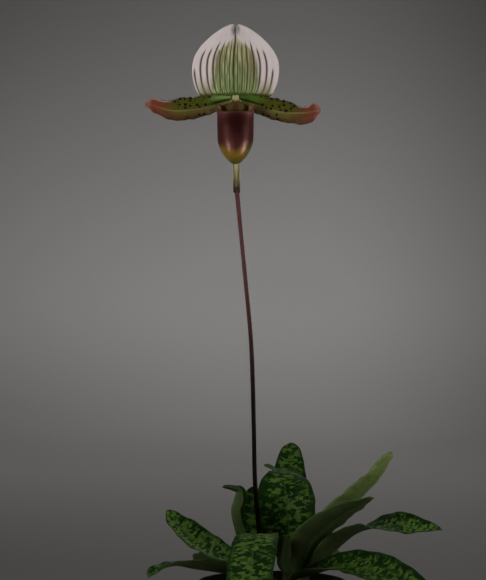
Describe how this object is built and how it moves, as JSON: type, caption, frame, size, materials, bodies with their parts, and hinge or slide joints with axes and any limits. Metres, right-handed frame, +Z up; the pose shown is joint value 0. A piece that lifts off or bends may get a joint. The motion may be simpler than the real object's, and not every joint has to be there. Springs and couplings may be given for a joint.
{
  "type": "potted slipper orchid",
  "caption": "Paphiopedilum slipper orchid in bloom in a small plain pot: mottled strap leaves, tall stalk, pouched flower with a broad dorsal sepal.",
  "frame": {"origin": "centre of the pot's flat underside", "axes": "+Z up along the pot's axis to the flower, -Y is where the flower faces, +X to the right seen from the front"},
  "size_m": [0.1747, 0.1541, 0.4166],
  "materials": {
    "pot": "smooth, dark brown-black moulded plastic",
    "potting_bark": "rough chips of fir bark",
    "rhizome_and_roots": "matt, felted roots",
    "leaf_back_upright": "mottled light and dark green, leathery, waxy sheen",
    "leaf_back_broad": "mottled light and dark green, leathery, waxy sheen",
    "leaf_left_channelled": "mottled light and dark green, leathery, waxy sheen",
    "leaf_left_upper": "mottled light and dark green, leathery, waxy sheen",
    "leaf_left_lower": "mottled light and dark green, leathery, waxy sheen",
    "leaf_front_centre": "mottled light and dark green, leathery, waxy sheen",
    "leaf_back_left": "mottled light and dark green, leathery, waxy sheen",
    "leaf_back_low": "mottled light and dark green, leathery, waxy sheen",
    "leaf_right_long": "mottled light and dark green, leathery, waxy sheen",
    "leaf_right_front": "mottled light and dark green, leathery, waxy sheen",
    "leaf_right_twisted": "mottled light and dark green, leathery, waxy sheen",
    "leaf_back_right": "mottled light and dark green, leathery, waxy sheen",
    "leaf_young_folded": "mottled light and dark green, leathery, waxy sheen",
    "leaf_front_right": "mottled light and dark green, leathery, waxy sheen",
    "scape": "dark maroon, finely hairy",
    "ovary": "pale green, finely hairy",
    "bract": "pale green with a dark foot",
    "dorsal_sepal": "white with a green middle and maroon veins, satin",
    "synsepal": "greenish white with green veins, satin",
    "petal_left": "olive green to copper red with dark warts, satin",
    "petal_right": "olive green to copper red with dark warts, satin",
    "pouch": "dark maroon with an olive toe, glossy",
    "column": "cream with an olive middle, waxy"
  },
  "bodies": {
    "root": {"pot": "pot", "potting_bark": "potting_bark", "rhizome_and_roots": "rhizome_and_roots", "leaf_back_upright": "leaf_back_upright", "leaf_back_broad": "leaf_back_broad", "leaf_left_channelled": "leaf_left_channelled", "leaf_left_upper": "leaf_left_upper", "leaf_left_lower": "leaf_left_lower", "leaf_front_centre": "leaf_front_centre", "leaf_back_left": "leaf_back_left", "leaf_back_low": "leaf_back_low", "leaf_right_long": "leaf_right_long", "leaf_right_front": "leaf_right_front", "leaf_right_twisted": "leaf_right_twisted", "leaf_back_right": "leaf_back_right", "leaf_young_folded": "leaf_young_folded", "leaf_front_right": "leaf_front_right", "scape": "scape", "ovary": "ovary", "bract": "bract", "dorsal_sepal": "dorsal_sepal", "synsepal": "synsepal", "petal_left": "petal_left", "petal_right": "petal_right", "pouch": "pouch", "column": "column"}
  },
  "joints": []
}
